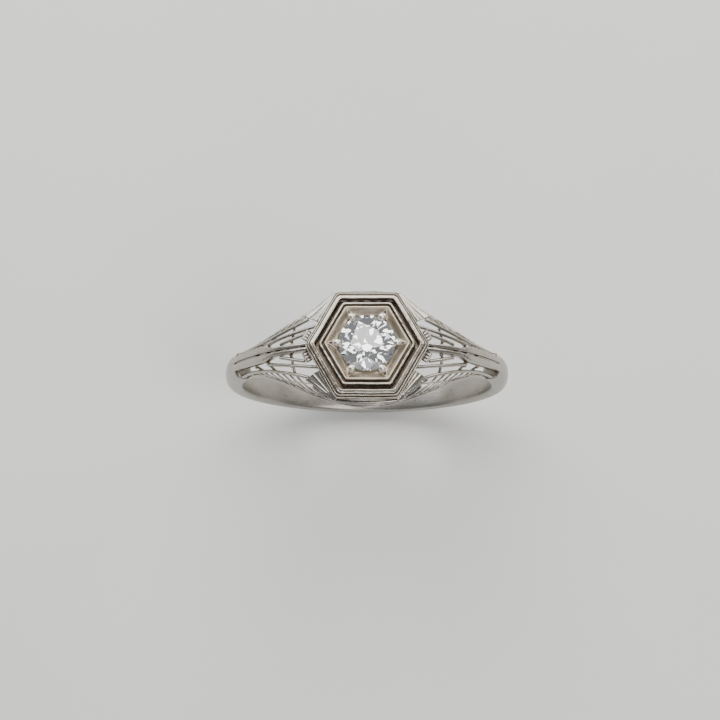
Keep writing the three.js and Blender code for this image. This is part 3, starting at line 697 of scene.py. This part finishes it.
@dataclass
class Head:
    """The stepped six-sided head: frames, stone cup, claws, stone, and the wall and ring under them."""

    bench: Bench
    steps: int = 300
    corner_sharpness: float = 60.0
    fillet: float = 0.022
    outer_band: float = 0.53
    ridge_width: float = 0.085
    ridge_gap: float = 0.045
    ridge_tops: tuple[float, float] = (0.52, 0.75)
    groove_depth: float = 0.1
    band_start: float = 0.275
    band_top: float = 0.92
    rim_width: float = 0.1
    inner_band: float = 0.3
    inner_rim: float = 0.15
    inner_groove: float = 0.3
    lip_width: float = 0.15
    slope_drop: float = 0.06
    hollow_depth: float = 0.3
    hollow_power: float = 1.7
    seat_clearance: float = 0.03
    bead_reach: float = 0.13
    cut: CutWall = CutWall()
    lumps: tuple[Lump, ...] = (
        Lump(0.0, 0.23, (0.28, 0.26, 0.23)),
        Lump(0.09, 0.37, (0.22, 0.21, 0.23)),
        Lump(-0.08, 0.27, (0.23, 0.21, 0.14)),
    )

    def build(self) -> None:
        """Make every piece of the head."""
        self.outer_frame()
        self.inner_frame()
        self.stone_cup()
        for number in range(1, HEX_SIDES + 1):
            self.claw(number)
        self.stone()
        self.bench.work_node("head_wall", Craft.CAST_WALL, Finish.FILIGREE)
        self.bench.work_node("under_bezel", Craft.CAST_WALL, Finish.FILIGREE)

    def moulded(
            self, node: str, profile: list[tuple[float, float]], finish: Finish = Finish.FRAME) -> None:
        """Sweep a closed profile round the head and keep it in place of a frame node.

        Args:
            node: The node that the moulding stands for.
            profile: Points of distance from the axis to a flat, and height.
            finish: The moulding's finish.
        """
        curve = bpy.data.curves.new(node, "CURVE")
        curve.dimensions = "3D"
        spline = curve.splines.new("POLY")
        spline.points.add(len(profile) - 1)
        spline.use_cyclic_u = True
        for point, (apothem, height) in zip(spline.points, profile):
            point.co = (apothem - SWEEP_RADIUS, -height, 0.0, 1.0)
        obj = bpy.data.objects.new(f"{node}_moulding", curve)
        swept = self.bench.moulding.run(obj, {
            "Steps": self.steps, "Corner Sharpness": self.corner_sharpness, "Fillet": self.fillet,
            "Material": self.bench.materials[finish]})
        self.face_outward(swept)
        work = Work(dent_depth=0.012, dent_size=0.35, wobble=0.04)
        self.bench.add(self.bench.wear(swept, work, finish), finish, node)

    @staticmethod
    def face_outward(obj: bpy.types.Object) -> None:
        """Turn a closed mesh's faces outward."""
        shape = bmesh.new()
        shape.from_mesh(obj.data)
        bmesh.ops.recalc_face_normals(shape, faces=shape.faces)
        shape.to_mesh(obj.data)
        shape.free()

    def outer_frame(self) -> None:
        """Two fine ridges that step up to a broad band with a raised inner rim."""
        low, high = box_mm("outer_frame")
        edge, base, crest = high.y, low.z, high.z
        rise = crest - base
        inside = edge - self.outer_band
        undercut, flank, slope = 0.02, 0.01, 0.055
        profile = [(edge - undercut, base), (edge, base + 0.4 * rise)]
        for number, share in enumerate(self.ridge_tops):
            outer = edge - number * (self.ridge_width + self.ridge_gap)
            top = base + share * rise
            floor = top - self.groove_depth
            profile += [
                (outer, top - self.groove_depth / 2),
                (outer - 0.2 * self.ridge_width, top),
                (outer - 0.8 * self.ridge_width, top),
                (outer - self.ridge_width, floor + flank),
                (outer - self.ridge_width - self.ridge_gap, floor),
            ]
        band = base + self.band_top * rise
        profile += [
            (edge - self.band_start, band - 0.05 * rise),
            (edge - self.band_start - slope, band),
            (inside + self.rim_width, band),
            (inside + 0.85 * self.rim_width, crest),
            (inside + 0.15 * self.rim_width, crest),
            (inside, band + 0.01 * rise),
            (inside, base),
        ]
        self.moulded("outer_frame", profile)

    def inner_frame(self) -> None:
        """A rounded rim with a dark groove inside it."""
        low, high = box_mm("inner_frame")
        edge, base, crest = high.y, low.z, high.z
        inside = edge - self.inner_band
        rim = edge - self.inner_rim
        floor = crest - self.inner_groove
        bevel, drop, inner_drop = 0.04, 0.1, 0.12
        self.moulded("inner_frame", [
            (edge, base),
            (edge, crest - drop),
            (edge - bevel, crest),
            (rim, crest),
            (rim - bevel, crest - inner_drop),
            (rim - 1.25 * bevel, floor),
            (inside, floor),
            (inside, base),
        ])

    def stone_cup(self) -> None:
        """A lip that falls in a hollow curve to the stone's seat."""
        low, high = box_mm("stone_cup")
        edge, base, lip = high.y, low.z, high.z
        seat = self.seat_radius()
        slope_edge = edge - self.lip_width
        bevel, drop = 0.03, 0.07
        inner_bevel, inner_edge, inner_drop = 0.05, 0.02, 0.05
        profile = [
            (edge, base),
            (edge, lip - drop),
            (edge - bevel, lip),
            (slope_edge + inner_bevel, lip),
            (slope_edge + inner_edge, lip - inner_drop),
        ]
        steps = 5
        for i in range(steps + 1):
            apothem = slope_edge + (seat - slope_edge) * i / steps
            profile.append((apothem, self.slope_height(apothem)))
        floor = profile[-1][1]
        ledge, ledge_drop, flare = 0.3, 0.22, 0.04
        profile += [(seat - ledge, floor - ledge_drop), (seat - ledge - flare, base)]
        self.moulded("stone_cup", profile, Finish.CUP)

    def seat_radius(self) -> float:
        """Return the distance from the axis to the seat's edge, just outside the stone."""
        return box_mm("diamond")[1].y + self.seat_clearance

    def slope_height(self, apothem: float) -> float:
        """Return the height of the cup's hollow wall at a distance from the axis, towards a flat."""
        cup = box_mm("stone_cup")[1]
        edge, top = cup.y - self.lip_width, cup.z - self.slope_drop
        share = min(max((edge - apothem) / (edge - self.seat_radius()), 0.0), 1.0)
        return top - self.hollow_depth * (1 - (1 - share) ** self.hollow_power)

    def claw(self, number: int) -> None:
        """A rounded bead on a short post, with two raised cuts that meet in the cup's corner behind it."""
        node = f"prong_{number}"
        top = box_mm(node)[1].z
        azimuth = math.tau / HEX_SIDES * (number - 1)
        reach = box_mm("diamond")[1].y + self.bead_reach
        shape = bmesh.new()
        for lump in self.lumps:
            self.lump(shape, (reach + lump.outward, 0, top - lump.depth), lump.size)
        for side in (-1, 1):
            self.cut_wall(shape, side)
        obj = mesh_object(f"{node}_bead", shape)
        obj.data.transform(Matrix.Rotation(azimuth, 4, "Z"))
        work = Work(voxel=0.016, blur=4, dent_depth=0.006, dent_size=0.2, wobble=0.0)
        self.bench.add(self.bench.wear(obj, work, Finish.CLAW), Finish.CLAW, node)

    @staticmethod
    def lump(shape: bmesh.types.BMesh, place: Point, size: Point) -> None:
        """Add an egg-shaped lump of metal.

        Args:
            shape: The claw's mesh.
            place: The lump's middle.
            size: Its half sizes.
        """
        matrix = Matrix.Translation(place) @ Matrix.Diagonal((*size, 1.0))
        bmesh.ops.create_uvsphere(shape, u_segments=24, v_segments=16, radius=1.0, matrix=matrix)

    def cut_wall(self, shape: bmesh.types.BMesh, side: int) -> None:
        """Add one of the two tapering walls left by the graver behind a bead.

        Args:
            shape: The claw's mesh.
            side: 1 or -1, the side of the claw that the wall lies on.
        """
        cut = self.cut
        corner_reach = (box_mm("stone_cup")[1].y - cut.corner_gap) / math.cos(math.pi / HEX_SIDES)
        start = Vector((corner_reach, cut.start_gap * side))
        end = Vector((box_mm("diamond")[1].y + cut.end_gap, cut.end_spread * side))
        across = Vector((start.y - end.y, end.x - start.x)).normalized()
        steps = 8
        rings = []
        for i in range(steps + 1):
            share = i / steps
            at = start.lerp(end, share) + across * side * cut.bow * math.sin(math.pi * share)
            ground = self.slope_height(self.hex_distance(at)) - cut.foot
            half_width = cut.least_width + cut.more_width * math.sin(math.pi * (0.15 + 0.75 * share))
            height = cut.least_height + cut.more_height * math.sin(math.pi * (0.1 + 0.75 * share))
            crest = cut.crest_share * half_width
            section = [(-half_width, 0.0), (half_width, 0.0), (crest, height), (-crest, height)]
            rings.append([shape.verts.new((*(at + across * a), ground + b)) for a, b in section])
        for first, second in zip(rings, rings[1:]):
            for i in range(len(first)):
                j = (i + 1) % len(first)
                shape.faces.new((first[i], first[j], second[j], second[i]))
        shape.faces.new(rings[0][::-1])
        shape.faces.new(rings[-1])
        bmesh.ops.recalc_face_normals(shape, faces=shape.faces)

    @staticmethod
    def hex_distance(place: Vector) -> float:
        """Return a place's distance from the axis towards the nearest of the six flats."""
        azimuth = math.atan2(place.y, place.x)
        turn = math.tau / HEX_SIDES
        return place.length * math.cos(azimuth % turn - turn / 2)

    def stone(self) -> None:
        """Cut the brilliant: a round blank, then one plane for each facet."""
        low, high = box_mm("diamond")
        cut = Brilliant(radius=high.x, culet=low.z, table=high.z)
        obj = mesh_object("cut_stone", cut.mesh())
        obj.data.materials.append(self.bench.materials[Finish.GEM])
        self.bench.add(obj, Finish.GEM, "diamond")


@dataclass
class Brilliant:
    """A round brilliant cut with the usual 57 facets. Sizes in millimetres."""

    radius: float
    culet: float
    table: float
    table_share: float = 0.56
    crown_share: float = 0.15
    girdle_share: float = 0.022
    star_share: float = 0.8
    lower_share: float = 0.27
    girdle_sides: int = 128

    def mesh(self) -> bmesh.types.BMesh:
        """Cut the stone and return its mesh."""
        shape = bmesh.new()
        depth = self.table - self.culet
        middle = Matrix.Translation((0, 0, self.culet + depth / 2))
        bmesh.ops.create_cone(
            shape, cap_ends=True, segments=self.girdle_sides, radius1=self.radius, radius2=self.radius,
            depth=2 * depth, matrix=middle)
        for points in self.facets():
            self.grind(shape, *points)
        bmesh.ops.recalc_face_normals(shape, faces=shape.faces)
        return shape

    def facets(self) -> list[tuple[Vector, Vector, Vector]]:
        """Return three points on the plane of each facet."""
        diameter = 2 * self.radius
        girdle_top = self.table - self.crown_share * diameter
        girdle_base = girdle_top - self.girdle_share * diameter
        table = self.table_share * self.radius
        star = self.star_share * self.radius
        lower = self.lower_share * self.radius
        half = math.pi / MAIN_FACETS
        crown = self.table - girdle_top
        star_z = girdle_top + crown * (self.radius - star * math.cos(half)) / (self.radius - table)
        lower_z = self.culet + (girdle_base - self.culet) * lower * math.cos(half) / self.radius
        culet = Vector((0, 0, self.culet))
        flat = [self.at(table, angle, self.table) for angle in (0, 2, 4)]
        planes = [tuple(flat)]
        for i in range(MAIN_FACETS):
            turn = 2 * i * half
            star_tip = self.at(star, turn + half, star_z)
            other_star = self.at(star, turn - half, star_z)
            low_tip = self.at(lower, turn + half, lower_z)
            planes.append((other_star, star_tip, self.at(self.radius, turn, girdle_top)))
            table_corners = [self.at(table, turn + step * half, self.table) for step in (0, 2)]
            planes.append((*table_corners, star_tip))
            planes.append((low_tip, self.at(lower, turn - half, lower_z), culet))
            between = self.at(self.radius, turn + half, girdle_top)
            below = self.at(self.radius, turn + half, girdle_base)
            for end in (turn, turn + 2 * half):
                planes.append((star_tip, between, self.at(self.radius, end, girdle_top)))
                planes.append((low_tip, below, self.at(self.radius, end, girdle_base)))
        return planes

    @staticmethod
    def at(radius: float, azimuth: float, height: float) -> Vector:
        """Return a point at a distance from the axis, a direction and a height."""
        return Vector((radius * math.cos(azimuth), radius * math.sin(azimuth), height))

    def grind(self, shape: bmesh.types.BMesh, first: Vector, second: Vector, third: Vector) -> None:
        """Take away what stands outside the plane through three points, and close the cut.

        Args:
            shape: The stone.
            first: A point on the plane.
            second: A point on the plane.
            third: A point on the plane.
        """
        middle = Vector((0, 0, (self.table + self.culet) / 2))
        normal = (second - first).cross(third - first).normalized()
        if normal.dot(first - middle) < 0:
            normal.negate()
        geometry = [*shape.verts, *shape.edges, *shape.faces]
        cut = bmesh.ops.bisect_plane(
            shape, geom=geometry, dist=1e-5, plane_co=first, plane_no=normal, clear_outer=True)
        rim = [part for part in cut["geom_cut"] if isinstance(part, bmesh.types.BMEdge)]
        open_rim = [edge for edge in rim if edge.is_boundary]
        if open_rim:
            bmesh.ops.holes_fill(shape, edges=open_rim, sides=0)


# ---------- the shoulders ----------
@dataclass
class Shoulders:
    """The four pierced quarter shoulders: ribs, wires, bars, plates, brackets, galleries and solder."""

    bench: Bench
    solder_radius: float = 0.13
    plate_spread: float = math.radians(28)
    plate_grooves: float = 3.0
    front_groove_depth: float = 0.06
    rear_groove_depth: float = 0.012
    split_radius: float = 0.075
    split_lift: float = 0.045
    joint_radius: float = 0.055
    joint_sink: float = 0.035

    def build(self) -> None:
        """Make every piece of the shoulders."""
        for corner in CORNERS:
            self.bench.work_node(f"rib_{corner}", Craft.CAST, Finish.FILIGREE)
            for strand in (*WIRES, *BARS):
                self.bench.work_node(f"{strand}_{corner}", Craft.DRAWN_WIRE, Finish.FILIGREE)
            self.bench.work_node(f"side_gallery_{corner}", Craft.CAST, Finish.FILIGREE)
            self.bench.work_node(f"corner_bracket_{corner}", Craft.CAST, Finish.FILIGREE)
            self.plate(corner)
            self.solder(corner)
        for side in ("left", "right"):
            self.fill_split(side)
            self.join_shank(side)

    def fill_split(self, side: str) -> None:
        """Run solder along the floor of the groove between a shoulder's two ribs.

        Args:
            side: The shoulder, left or right.
        """
        floor: dict[int, float] = {}
        mid_plane = 0.02
        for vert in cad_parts[f"rib_{side}_front"].data.vertices:
            x, y, z = vert.co / MM
            if abs(y) < mid_plane:
                degrees = round(math.degrees(math.atan2(x, z)))
                floor[degrees] = max(floor.get(degrees, 0.0), math.hypot(x, z))
        places = []
        for degrees, radius in sorted(floor.items())[1:]:
            angle = math.radians(degrees)
            reach = radius + self.split_lift
            places.append((reach * math.sin(angle), 0.0, reach * math.cos(angle)))
        self.run_solder(f"split_{side}", places, self.split_radius)

    def join_shank(self, side: str) -> None:
        """Run solder over the joint between a shoulder and the shank.

        Args:
            side: The shoulder, left or right.
        """
        sign = 1 if side == "right" else -1
        verts = [vert.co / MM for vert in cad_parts["shank"].data.vertices if sign * vert.co.x > 0]
        start = min(math.atan2(abs(co.x), co.z) for co in verts)
        end_slice, outer_share = math.radians(0.5), 0.6
        end = [co for co in verts if math.atan2(abs(co.x), co.z) < start + end_slice]
        reaches = [math.hypot(co.x, co.z) for co in end]
        outside = min(reaches) + outer_share * (max(reaches) - min(reaches))
        over = sorted((co for co, reach in zip(end, reaches) if reach > outside), key=lambda co: co.y)
        sunk = 1 - self.joint_sink / max(reaches)
        places = [(co.x * sunk, co.y, co.z * sunk) for co in over]
        self.run_solder(f"joint_{side}", places, self.joint_radius)

    def run_solder(self, name: str, places: list[Point], radius: float) -> None:
        """Run a fillet of solder through a row of places.

        Args:
            name: The fillet's name.
            places: The places in millimetres.
            radius: The fillet's radius.
        """
        path = bmesh.new()
        points = [path.verts.new(place) for place in places]
        for first, second in zip(points, points[1:]):
            path.edges.new((first, second))
        run = self.bench.solder_run.run(mesh_object(name, path), {
            "Radius": radius, "Material": self.bench.materials[Finish.FILIGREE]})
        work = Work(dent_depth=0.008, dent_size=0.25)
        self.bench.add(self.bench.wear(run, work, Finish.FILIGREE), Finish.FILIGREE)

    def plate(self, corner: str) -> None:
        """Engrave a fan of grooves on a plate beside the head."""
        node = f"shoulder_plate_{corner}"
        side = 1 if "right" in corner else -1
        face = 1 if "rear" in corner else -1
        flat = box_mm("outer_frame")[1].y
        corner_x = flat * math.tan(math.pi / HEX_SIDES)
        obj = frame_copy(node)
        remesh = obj.modifiers.new("cast", "REMESH")
        remesh.mode = "VOXEL"
        remesh.voxel_size = Craft.CAST.value.voxel
        turn = math.pi / HEX_SIDES
        engraved = self.bench.engraving.run(obj, {
            "Corner": (side * corner_x, face * flat, 0.0),
            "Along": (side * math.sin(turn), -face * math.cos(turn), 0.0),
            "Outward": (side * math.cos(turn), face * math.sin(turn), 0.0),
            "Spread": self.plate_spread, "Grooves": self.plate_grooves,
            "Depth": self.rear_groove_depth if face > 0 else self.front_groove_depth,
            "Material": self.bench.materials[Finish.FILIGREE],
        })
        work = Work(blur=1, dent_depth=0.006, dent_size=0.3)
        self.bench.add(self.bench.wear(engraved, work, Finish.FILIGREE), Finish.FILIGREE, node)

    def solder(self, corner: str) -> None:
        """Put a bead of solder wherever a bar passes under a wire or meets the rib."""
        points = bmesh.new()
        for bar in BARS:
            for other in (*WIRES, "rib"):
                place = meeting(f"{bar}_{corner}", f"{other}_{corner}")
                if place is not None:
                    points.verts.new(place)
        obj = mesh_object(f"solder_{corner}", points)
        beads = self.bench.beads.run(obj, {
            "Radius": self.solder_radius, "Seed": CORNERS.index(corner),
            "Material": self.bench.materials[Finish.FILIGREE]})
        self.bench.add(beads, Finish.FILIGREE)


def meeting(first: str, second: str, closest: float = 0.12) -> Vector | None:
    """Find where two pieces of the frame meet.

    Args:
        first: A node.
        second: Another node.
        closest: The widest gap in millimetres at which they count as meeting.

    Returns:
        The middle of the meeting in millimetres, or None where they don't meet.
    """
    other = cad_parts[second].data
    places = [vert.co for vert in other.vertices]
    tree = BVHTree.FromPolygons(places, [face.vertices for face in other.polygons])
    pairs = []
    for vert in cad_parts[first].data.vertices:
        place, _, _, distance = tree.find_nearest(vert.co)
        pairs.append((distance, (place + vert.co) / 2))
    distance, place = min(pairs, key=lambda pair: pair[0])
    return place / MM if distance < closest * MM else None


# ---------- the band ----------
@dataclass
class Band:
    """The plain shank, the rails along the finger hole and the arcs under the head's front and rear."""

    bench: Bench

    def build(self) -> None:
        """Make every piece of the band."""
        self.bench.work_node("shank", Craft.FORGED_BAND, Finish.BAND)
        for end in ENDS:
            self.bench.work_node(f"finger_rail_{end}", Craft.HEAVY_WIRE, Finish.FILIGREE)
            self.bench.work_node(f"lower_arc_{end}", Craft.DRAWN_WIRE, Finish.FILIGREE)
            self.bench.work_node(f"upper_arc_{end}", Craft.DRAWN_WIRE, Finish.FILIGREE)


# ---------- studio ----------
@dataclass(frozen=True)
class Softbox:
    """A round soft light that faces the head.

    Lengths are in millimetres, and glow is in watts per square metre and steradian.
    """

    name: str
    place: Point
    size: float
    glow: float
    tint: Colour = (1.0, 0.98, 0.95)

    def hang(self, aim: Vector) -> None:
        """Hang the light where it belongs, turned to what it lights."""
        light = bpy.data.lights.new(self.name, "AREA")
        light.shape = "DISK"
        light.size = self.size * MM
        light.energy = self.glow * math.pi * math.pi * (self.size * MM / 2) ** 2
        light.color = self.tint
        obj = bpy.data.objects.new(self.name, light)
        place = Vector(self.place) * MM
        obj.location = place
        obj.rotation_mode = "QUATERNION"
        obj.rotation_quaternion = (aim - place).to_track_quat("-Z", "Y")
        bpy.context.scene.collection.objects.link(obj)


@dataclass
class Studio:
    """Pale floor, soft light and the camera. Lengths in millimetres, angles in degrees."""

    floor_half: float = 260.0
    floor_gap: float = 0.1
    floor_roughness: float = 0.85
    floor_gloss: float = 0.2
    floor_dark: Colour = (0.77, 0.77, 0.76)
    floor_light: Colour = (0.81, 0.81, 0.8)
    sky_tint: tuple[float, float, float, float] = (0.92, 0.94, 0.97, 1.0)
    sky_strength: float = 0.3
    head_height: float = 11.9
    camera_elevation: float = 78.5
    camera_distance: float = 260.0
    clip_start: float = 10.0
    field_width: float = 47.49
    sensor: float = 36.0
    shift: tuple[float, float] = (-0.0097, -0.027)
    lights: tuple[Softbox, ...] = (
        Softbox("rear_softbox", (-20.0, 122.0, 176.0), 200.0, 4.8),
        Softbox("key_light", (85.0, -55.0, 190.0), 115.0, 5.0),
        Softbox("left_panel", (-165.0, 105.0, 75.0), 130.0, 4.2, (0.95, 0.97, 1.0)),
        Softbox("right_panel", (165.0, 115.0, 75.0), 130.0, 4.2),
        Softbox("front_panel", (20.0, -190.0, 140.0), 90.0, 2.6, (0.95, 0.97, 1.0)),
    )

    def build(self) -> None:
        """Lay the floor, hang the lights and set the camera."""
        self.floor()
        self.sky()
        aim = Vector((0, 0, self.head_height * MM))
        for light in self.lights:
            light.hang(aim)
        self.camera(aim)
        log.info("studio: %d lights", len(self.lights))

    def floor(self) -> None:
        """Lay a pale floor just under the ring."""
        half = self.floor_half * MM
        height = cad_box[0].z - self.floor_gap * MM
        shape = bmesh.new()
        square = ((-1, -1), (1, -1), (1, 1), (-1, 1))
        shape.faces.new([shape.verts.new((x * half, y * half, height)) for x, y in square])
        obj = mesh_object("floor", shape)
        material = bpy.data.materials.new("pale_board")
        material.use_nodes = True
        tree = TreeWriter(material.node_tree)
        shader = material.node_tree.nodes["Principled BSDF"]
        shader.inputs["Roughness"].default_value = self.floor_roughness
        shader.inputs["Specular IOR Level"].default_value = self.floor_gloss
        place = tree.node("ShaderNodeTexCoord").outputs["Object"]
        fibre = tree.take("ShaderNodeTexNoise", {"Vector": place, "Scale": 60.0, "Detail": 5.0})
        colour = GoldFinish.blend(tree, fibre, self.floor_dark, self.floor_light)
        material.node_tree.links.new(colour, shader.inputs["Base Color"])
        obj.data.materials.append(material)

    def sky(self) -> None:
        """Fill the room with weak even light."""
        world = bpy.data.worlds.new("studio")
        world.use_nodes = True
        background = world.node_tree.nodes["Background"]
        background.inputs["Color"].default_value = self.sky_tint
        background.inputs["Strength"].default_value = self.sky_strength
        bpy.context.scene.world = world

    def camera(self, aim: Vector) -> None:
        """Set the camera high in front of the ring.

        Args:
            aim: The point that it looks at.
        """
        elevation = math.radians(self.camera_elevation)
        back = Vector((0, -math.cos(elevation), math.sin(elevation)))
        camera = bpy.data.cameras.new("camera")
        camera.sensor_width = self.sensor
        camera.lens = self.sensor * self.camera_distance / self.field_width
        camera.clip_start = self.clip_start * MM
        camera.shift_x, camera.shift_y = self.shift
        obj = bpy.data.objects.new("camera", camera)
        obj.location = aim + back * self.camera_distance * MM
        obj.rotation_mode = "QUATERNION"
        obj.rotation_quaternion = (-back).to_track_quat("-Z", "Y")
        bpy.context.scene.collection.objects.link(obj)
        bpy.context.scene.camera = obj


def main() -> None:
    """Build the ring's sub-assemblies, set them in the frame and light them."""
    logging.basicConfig(level=logging.INFO, format="%(name)s %(message)s")
    bench = Bench()
    Head(bench).build()
    Shoulders(bench).build()
    Band(bench).build()
    bench.set_in_frame()
    Studio().build()


if __name__ == "__main__":
    main()
